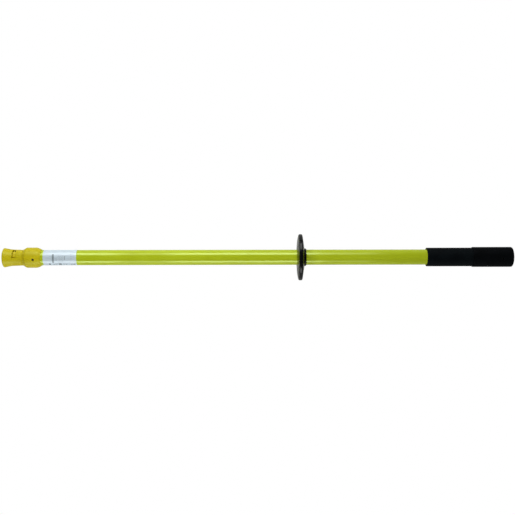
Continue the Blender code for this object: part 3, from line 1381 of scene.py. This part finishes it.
    def build(self) -> None:
        """Builds the plate, the leaf spring under it and the pin that keeps it in."""
        make_piece(
            self.plate(), "latch_ring", self.finish, Slot.LATCH, "latch_plate", body=Body.LATCH
        )
        leaf = make_piece(
            self.leaf(), "latch_leaf", self.spring_finish, Slot.SPRING, "latch_spring"
        )
        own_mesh(leaf)
        low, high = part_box("latch_keeper_pin")
        rod = self.keeper_rod(self.keeper_radius, low.x, high.x)
        make_piece(rod, "latch_keeper", self.pin_finish, Slot.PIN, "latch_keeper_pin")


@dataclass
class Coupling:
    """The moulded coupling: funnel mouth, hexagonal socket, latch slot and tube seat."""

    finish: Finish
    latch: Latch
    pin: CrossPin
    mouth_radius: float = 19.4 * MM
    mouth_opening: float = 15.9 * MM
    lip_rounding: float = 2.4 * MM
    opening_rounding: float = 0.35 * MM
    flare_knee: float = 8.5 * MM
    flare_knee_radius: float = 17.6 * MM
    flare_end: float = 12.5 * MM
    flare_end_radius: float = 16.8 * MM
    flare_root: float = 18.0 * MM
    flare_root_radius: float = 16.2 * MM
    flare_rounding: float = 1.8 * MM
    neck_end: float = 37.2 * MM
    neck_radius: float = 15.5 * MM
    shoulder_end: float = 47.0 * MM
    shoulder_steps: int = 16
    barrel_radius: float = 19.95 * MM
    crown_start: float = 63.5 * MM
    crown_end_radius: float = 15.9 * MM
    crown_steps: int = 14
    length: float = 74.5 * MM
    funnel_depth: float = 11.5 * MM
    funnel_floor: float = 6.0 * MM
    inner_rounding: float = 0.4 * MM
    across_flats: float = 12.4 * MM
    socket_start: float = 9.0 * MM
    socket_floor: float = 38.0 * MM
    seat_floor: float = 44.0 * MM
    seat_radius: float = 15.3 * MM
    slot_edge: float = 0.35 * MM
    slot_edge_angle: float = 60.0
    sides: int = 120

    def outline(self) -> list[Corner]:
        """The turned outline, from the tube seat over the outside to the funnel.

        Returns:
            The corners in order.
        """
        crown_start = Corner(self.crown_start, self.barrel_radius)
        crown_end = Corner(self.length, self.crown_end_radius)
        crown = run_between(crown_start, crown_end, self.crown_steps, steep=True)
        barrel = Corner(self.shoulder_end, self.barrel_radius)
        neck = Corner(self.neck_end, self.neck_radius)
        shoulder = run_between(barrel, neck, self.shoulder_steps, steep=False)
        return [
            Corner(self.seat_floor, 0.0),
            Corner(self.seat_floor, self.seat_radius, self.inner_rounding, 2),
            Corner(self.length, self.seat_radius),
            *reversed(crown),
            *shoulder,
            Corner(self.flare_root, self.flare_root_radius, self.flare_rounding),
            Corner(self.flare_end, self.flare_end_radius, self.flare_rounding),
            Corner(self.flare_knee, self.flare_knee_radius, self.flare_rounding),
            Corner(0.0, self.mouth_radius, self.lip_rounding, 8),
            Corner(0.0, self.mouth_opening, self.opening_rounding),
            Corner(self.funnel_depth, self.funnel_floor, self.inner_rounding),
            Corner(self.funnel_depth, 0.0),
        ]

    def socket(self) -> bmesh.types.BMesh:
        """The shape of the hexagonal socket, with a corner towards the latch.

        Returns:
            The closed shape, in its place.
        """
        corner = self.across_flats / 2 / math.cos(math.radians(30))
        outline = [
            Corner(self.socket_start, 0.0),
            Corner(self.socket_start, corner),
            Corner(self.socket_floor, corner),
            Corner(self.socket_floor, 0.0),
        ]
        return placed(spun(outline, 6), 0.0, self.latch.turn)

    def build(self) -> None:
        """Builds the body and rounds the sharp edges that the cuts leave round the latch slot."""
        shape = carved(
            spun(self.outline(), self.sides),
            self.socket(),
            self.latch.slot(),
            self.latch.keeper_hole(),
            self.pin.hole(),
        )
        reach = 2 * self.barrel_radius
        near = self.latch.station
        low = Vector((near - self.latch.slot_length, -reach, -reach))
        high = Vector((near + self.latch.slot_length, reach, reach))
        soften(shape, self.slot_edge, self.slot_edge_angle, low, high)
        make_piece(shape, "coupling_moulding", self.finish, Slot.COUPLING, "coupling_body")


@dataclass
class Tube:
    """The pultruded tube, what fills it and what closes it."""

    finish: Finish
    foam_finish: Finish
    plug_finish: Finish
    seal_finish: Finish
    pins: tuple[CrossPin, ...]
    radius: float = 15.0 * MM
    bore: float = 12.0 * MM
    chamfer: float = 0.4 * MM
    sides: int = 120

    def build(self) -> None:
        """Builds the tube with its pin holes, and dresses the pieces inside it."""
        low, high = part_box("tube")
        start = low.x - MOUTH
        end = high.x - MOUTH
        outline = [
            Corner(end, self.bore, self.chamfer, 2),
            Corner(end, self.radius, self.chamfer, 2),
            Corner(start, self.radius, self.chamfer, 2),
            Corner(start, self.bore, self.chamfer, 2),
        ]
        shape = carved(spun(outline, self.sides, ring=True), *(pin.hole() for pin in self.pins))
        make_piece(shape, "pultruded_tube", self.finish, Slot.TUBE, "tube")
        dress_node("foam_core", self.foam_finish)
        for end_name in ("front", "rear"):
            dress_node(end_name + "_plug", self.plug_finish)
            dress_node(end_name + "_plug_seal", self.seal_finish)


@dataclass
class Label:
    """The film label, wrapped round the tube to a narrow seam at the back."""

    finish: Finish
    radius: float = 15.03 * MM
    thickness: float = 0.12 * MM
    seam: float = math.radians(3)
    sides: int = 120

    def build(self) -> None:
        """Builds the film and lays its UV map: along it, and round it from the seam."""
        low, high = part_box("rating_label")
        start = low.x - MOUTH
        end = high.x - MOUTH
        outer = self.radius + self.thickness
        outline = [
            Corner(start, self.radius),
            Corner(start, outer),
            Corner(end, outer),
            Corner(end, self.radius),
        ]
        shape = spun(outline, self.sides, ring=True, sweep=math.tau - self.seam)
        bmesh.ops.rotate(
            shape,
            cent=(0.0, 0.0, 0.0),
            matrix=Matrix.Rotation(self.seam / 2 + math.pi, 3, "X"),
            verts=shape.verts[:],
        )
        film = shape.loops.layers.uv.new("film")
        for face in shape.faces:
            for loop in face.loops:
                point = loop.vert.co
                along = (point.x - low.x) / (high.x - low.x)
                around = math.atan2(point.y, point.z) / math.tau + 0.5
                loop[film].uv = (along, around)
        make_piece(shape, "label_wrap", self.finish, Slot.LABEL, "rating_label")


@dataclass
class HandGuard:
    """The round hand guard with its hub, and the rubber ring inside it that grips the tube."""

    finish: Finish
    ring_finish: Finish
    radius: float = 45.5 * MM
    rim: float = 7.0 * MM
    rim_rounding: float = 2.2 * MM
    root_radius: float = 20.0 * MM
    root_front: float = 6.9 * MM
    root_back: float = 7.5 * MM
    swell_radius: float = 36.0 * MM
    swell_front: float = 5.6 * MM
    swell_rounding: float = 5.0 * MM
    hub_radius: float = 17.25 * MM
    hub_back: float = 11.3 * MM
    hub_rounding: float = 1.6 * MM
    hub_inner_rounding: float = 0.3 * MM
    hub_root_rounding: float = 0.5 * MM
    root_rounding: float = 0.8 * MM
    bore: float = 15.1 * MM
    bore_rounding: float = 0.4 * MM
    groove_radius: float = 17.5 * MM
    groove_half: float = 3.05 * MM
    sides: int = 160

    def build(self) -> None:
        """Builds the guard and dresses its ring."""
        middle = middle_of("guard_lock_ring").x - MOUTH
        front = middle - self.rim / 2
        back = middle + self.rim / 2
        root_back = middle + self.root_back
        root_front = middle - self.root_front
        hub_end = middle + self.hub_back
        outline = [
            Corner(hub_end, self.bore, self.hub_inner_rounding, 2),
            Corner(hub_end, self.hub_radius, self.hub_rounding, 6),
            Corner(root_back + self.root_rounding, self.hub_radius, self.hub_root_rounding),
            Corner(root_back, self.root_radius, self.root_rounding),
            Corner(back, self.radius, self.rim_rounding, 10),
            Corner(front, self.radius, self.rim_rounding, 10),
            Corner(middle - self.swell_front, self.swell_radius, self.swell_rounding, 8),
            Corner(root_front, self.root_radius, self.root_rounding),
            Corner(root_front, self.bore, self.bore_rounding, 2),
            Corner(middle - self.groove_half, self.bore),
            Corner(middle - self.groove_half, self.groove_radius),
            Corner(middle + self.groove_half, self.groove_radius),
            Corner(middle + self.groove_half, self.bore),
        ]
        shape = spun(outline, self.sides, ring=True)
        make_piece(shape, "guard_disc", self.finish, Slot.GUARD, "hand_guard")
        dress_node("guard_lock_ring", self.ring_finish)


@dataclass
class Handle:
    """The grip sleeve and the end cap."""

    grip_finish: Finish
    cap_finish: Finish
    pin: CrossPin
    grip_radius: float = 18.3 * MM
    grip_lip: float = 1.0 * MM
    bore: float = 15.1 * MM
    cap_bore: float = 15.3 * MM
    cap_radius: float = 19.6 * MM
    cap_edge: float = 0.7 * MM
    cap_rounding: float = 2.3 * MM
    cap_floor: float = 4.7 * MM
    cap_floor_rounding: float = 0.5 * MM
    trim: float = 0.3 * MM
    sides: int = 120

    def grip(self) -> bmesh.types.BMesh:
        """The sleeve, with a rounded front lip.

        Returns:
            The closed shape, in its place.
        """
        low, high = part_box("grip_sleeve")
        start = low.x - MOUTH
        end = high.x - MOUTH
        outline = [
            Corner(end, self.bore),
            Corner(end, self.grip_radius, self.trim, 2),
            Corner(start, self.grip_radius, self.grip_lip, 6),
            Corner(start, self.bore, self.trim, 2),
        ]
        return spun(outline, self.sides, ring=True)

    def cap(self) -> bmesh.types.BMesh:
        """The cap, closed and rounded at its end, with the holes of its pin.

        Returns:
            The closed shape, in its place.
        """
        low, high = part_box("end_cap")
        start = low.x - MOUTH
        end = high.x - MOUTH
        outline = [
            Corner(end, 0.0),
            Corner(end, self.cap_radius, self.cap_rounding, 10),
            Corner(start, self.cap_radius, self.cap_edge, 4),
            Corner(start, self.cap_bore, self.trim, 2),
            Corner(end - self.cap_floor, self.cap_bore, self.cap_floor_rounding, 2),
            Corner(end - self.cap_floor, 0.0),
        ]
        return carved(spun(outline, self.sides), self.pin.hole())

    def build(self) -> None:
        """Builds both."""
        make_piece(self.grip(), "grip_tube", self.grip_finish, Slot.GRIP, "grip_sleeve")
        make_piece(self.cap(), "butt_cap", self.cap_finish, Slot.CAP, "end_cap")


# ---------------------------------------------------------------- the studio


@dataclass(frozen=True)
class StudioFloor(Finish):
    """A light table of opal acrylic: pale, even and matt.

    Its glow reaches only the camera, so that it looks white without bleaching the stick's edges. To the
    stick it is a plain pale floor.
    """

    colour: str = "#e2e2e2"
    shade: str = "#dedede"
    glow: float = 1.0
    cloud: float = 0.5

    def nodes(self, tree: bpy.types.NodeTree, place: bpy.types.NodeSocket) -> bpy.types.Node:
        """Adds the glow and the pale clouded floor under it.

        Args:
            tree: The material's node tree.
            place: The Object coordinates.

        Returns:
            The shader node.
        """
        path = add_node(tree, "ShaderNodeLightPath")
        glow = add_node(
            tree,
            "ShaderNodeMath",
            {0: path.outputs["Is Camera Ray"], 1: self.glow},
            operation="MULTIPLY",
        )
        clouds = add_node(tree, "ShaderNodeTexNoise", {"Vector": place, "Scale": 1 / self.cloud})
        shade = add_node(
            tree,
            "ShaderNodeMix",
            {0: clouds.outputs["Fac"], MIX_A: linear(self.colour), MIX_B: linear(self.shade)},
            data_type="RGBA",
        )
        shown = add_node(
            tree,
            "ShaderNodeMix",
            {0: path.outputs["Is Camera Ray"], MIX_A: shade.outputs[MIX_RESULT], MIX_B: BLACK},
            data_type="RGBA",
        )
        return add_node(
            tree,
            "ShaderNodeBsdfPrincipled",
            {
                "Base Color": shown.outputs[MIX_RESULT],
                "Roughness": 1.0,
                "Specular IOR Level": 0.0,
                "Emission Color": WHITE,
                "Emission Strength": glow.outputs["Value"],
            },
        )


# Where along X each row's strips meet; its last one ends where the row says
ROW_STATIONS = (-0.78, -0.45, -0.28, 0.20)


@dataclass(frozen=True)
class StripLight:
    """A long soft light beside the stick.

    from_vertical is the angle at which the stick sees it, positive towards +Y, and width is the angle
    that it fills, both in degrees. start and end are places along X.
    """

    name: str
    start: float
    end: float
    from_vertical: float
    width: float
    radiance: float
    distance: float = 1.0

    def build(self) -> None:
        """Hangs the light, pointed at the stick's axis."""
        data = bpy.data.lights.new(self.name, "AREA")
        data.shape = "RECTANGLE"
        data.size = self.end - self.start
        data.size_y = 2 * self.distance * math.tan(math.radians(self.width / 2))
        data.energy = self.radiance * math.pi * data.size * data.size_y
        lamp = bpy.data.objects.new(self.name, data)
        angle = math.radians(self.from_vertical)
        lamp.location = (
            (self.start + self.end) / 2,
            self.distance * math.sin(angle),
            self.distance * math.cos(angle),
        )
        lamp.rotation_euler = (-angle, 0.0, 0.0)
        lamp.visible_camera = False
        bpy.context.scene.collection.objects.link(lamp)


@dataclass(frozen=True)
class LightRow:
    """A row of strips end to end beside the stick, brighter and dimmer by turns.

    The strips never overlap, because a reflection shows only the nearest of two lights.
    """

    name: str
    from_vertical: float
    width: float
    radiances: dict[str, float]
    tail_end: float

    def build(self) -> None:
        """Hangs the row's strips, from the coupling's end to the cap's."""
        stations = (*ROW_STATIONS, self.tail_end)
        for start, end, (part, radiance) in zip(stations, stations[1:], self.radiances.items()):
            name = f"{self.name}_{part}_strip"
            StripLight(name, start, end, self.from_vertical, self.width, radiance).build()


@dataclass
class Studio:
    """The floor that the stick lies on, the light and the camera."""

    floor_finish: Finish
    lights: tuple[LightRow, ...]
    backdrop: str = "#f0f0f0"
    horizon: str = "#a2a2a2"
    zenith: str = "#646464"
    horizon_reach: float = 0.95
    end_shade: float = 0.7
    sky: float = 1.0
    camera_place: tuple[float, float, float] = (-0.0007, -0.0004, 1.577)
    camera_roll: float = math.radians(-0.095)
    lens: float = 55.93
    sensor: float = 36.0
    floor_half: float = 30.0
    far_limit: float = 100.0
    mouth_rim: float = Coupling.mouth_radius

    def floor(self) -> None:
        """Lays the floor through the two rims that the stick rests on."""
        front = Vector((MOUTH, 0.0, -self.mouth_rim))
        back = Vector((middle_of("guard_lock_ring").x, 0.0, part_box("hand_guard")[0].z))
        slope = math.atan2(front.z - back.z, back.x - front.x)
        log.info("floor slope %.2f degrees", math.degrees(slope))
        bm = bmesh.new()
        bmesh.ops.create_grid(bm, x_segments=1, y_segments=1, size=self.floor_half)
        matrix = Matrix.Translation(back) @ Matrix.Rotation(slope, 4, "Y")
        bmesh.ops.transform(bm, matrix=matrix, verts=bm.verts[:])
        mesh = bpy.data.meshes.new("studio_floor")
        bm.to_mesh(mesh)
        bm.free()
        mesh.materials.append(self.floor_finish.material())
        floor = bpy.data.objects.new("studio_floor", mesh)
        bpy.context.scene.collection.objects.link(floor)

    def surroundings(self) -> None:
        """Makes the room: pale at the horizon, dim overhead and dim beyond the stick's ends."""
        world = bpy.data.worlds.new("studio_room")
        world.use_nodes = True
        tree = world.node_tree
        tree.nodes.clear()
        place = add_node(tree, "ShaderNodeTexCoord")
        parts = add_node(tree, "ShaderNodeSeparateXYZ", {"Vector": place.outputs["Generated"]})
        height = add_node(
            tree,
            "ShaderNodeMapRange",
            {"Value": parts.outputs["Z"], "From Min": 0.0, "From Max": self.horizon_reach},
            interpolation_type="SMOOTHSTEP",
        )
        colour = add_node(
            tree,
            "ShaderNodeMix",
            {
                0: height.outputs["Result"],
                MIX_A: linear(self.horizon),
                MIX_B: linear(self.zenith),
            },
            data_type="RGBA",
        )
        towards_end = add_node(
            tree, "ShaderNodeMath", {0: parts.outputs["X"], 1: 2.0}, operation="POWER"
        )
        share = add_node(
            tree,
            "ShaderNodeMath",
            {0: towards_end.outputs["Value"], 1: self.end_shade},
            operation="MULTIPLY",
        )
        shaded = add_node(
            tree,
            "ShaderNodeMix",
            {0: share.outputs["Value"], MIX_A: colour.outputs[MIX_RESULT], MIX_B: BLACK},
            data_type="RGBA",
        )
        path = add_node(tree, "ShaderNodeLightPath")
        shown = add_node(
            tree,
            "ShaderNodeMix",
            {
                0: path.outputs["Is Camera Ray"],
                MIX_A: shaded.outputs[MIX_RESULT],
                MIX_B: linear(self.backdrop),
            },
            data_type="RGBA",
        )
        background = add_node(
            tree,
            "ShaderNodeBackground",
            {"Color": shown.outputs[MIX_RESULT], "Strength": self.sky},
        )
        add_node(
            tree, "ShaderNodeOutputWorld", {"Surface": background.outputs["Background"]}
        )
        bpy.context.scene.world = world
        bpy.context.scene.view_settings.view_transform = "Standard"

    def camera(self) -> None:
        """Hangs the camera straight above the stick."""
        data = bpy.data.cameras.new("overhead")
        data.lens = self.lens
        data.sensor_width = self.sensor
        data.clip_end = self.far_limit
        camera = bpy.data.objects.new("overhead", data)
        camera.location = self.camera_place
        camera.rotation_euler = (0.0, 0.0, self.camera_roll)
        bpy.context.scene.collection.objects.link(camera)
        bpy.context.scene.camera = camera

    def build(self) -> None:
        """Builds the floor, the room, the lights and the camera."""
        self.floor()
        self.surroundings()
        for row in self.lights:
            row.build()
        self.camera()


def main() -> None:
    """Builds the stick's sub-assemblies in order, then the studio."""
    logging.basicConfig(level=logging.INFO, format="%(name)s: %(message)s")
    pin_steel = DrawnSteel("zinc_plated_pin_steel")
    dark_steel = DrawnSteel(
        "phosphated_spring_steel", colour="#4a4b4d", dull="#343537", roughness=0.42
    )
    spring_steel = DrawnSteel(
        "rolled_spring_steel", colour="#a9abae", dull="#8b8e92", stretch=(1.0, 0.05, 1.0)
    )
    coupling_finish = MouldedPolyamide("moulded_yellow_polyamide")
    latch_finish = MouldedPolyamide(
        "satin_yellow_polyamide", colour="#dcc91f", deep="#d2bd19", roughness=0.36
    )
    seal_finish = MouldedRubber("nitrile_rubber", roughness=0.6, grain=0.8 * MM)
    plug_finish = MouldedRubber(
        "moulded_black_polyamide", colour="#1c1d1e", bloom="#242627", roughness=0.45
    )
    coupling_pin = CrossPin(
        "coupling_pin", length=36.3 * MM, surface=Coupling.barrel_radius, finish=pin_steel
    )
    cap_pin = CrossPin(
        "end_cap_pin", length=35.1 * MM, surface=Handle.cap_radius, finish=dark_steel
    )

    latch = Latch(latch_finish, spring_steel, pin_steel)
    Coupling(coupling_finish, latch, coupling_pin).build()
    latch.build()
    coupling_pin.build()
    Tube(
        PultrudedGlassFibre("pultruded_glass_fibre"),
        ClosedCellFoam("closed_cell_foam"),
        plug_finish,
        seal_finish,
        (coupling_pin, cap_pin),
    ).build()
    Label(PrintedSilverFilm("printed_silver_film")).build()
    HandGuard(
        MouldedRubber(
            "moulded_soft_pvc",
            colour="#040607",
            bloom="#070a0b",
            roughness=0.2,
            specular=0.2,
            relief=0.03 * MM,
        ),
        MouldedRubber("lock_ring_rubber", roughness=0.65),
    ).build()
    Handle(
        MouldedRubber("moulded_grip_rubber", roughness=0.55),
        MouldedRubber("moulded_cap_rubber", colour="#06080a", bloom="#0a0d10"),
        cap_pin,
    ).build()
    cap_pin.build()

    Studio(
        StudioFloor("opal_light_table"),
        (
            LightRow(
                "front",
                from_vertical=56.0,
                width=34.0,
                radiances={"near": 5.3, "gap": 1.9, "far": 5.3, "tail": 2.0},
                tail_end=0.38,
            ),
            LightRow(
                "rear",
                from_vertical=-68.0,
                width=27.0,
                radiances={"near": 5.0, "gap": 2.1, "far": 5.0, "tail": 1.3},
                tail_end=0.37,
            ),
        ),
    ).build()


if __name__ == "__main__":
    main()
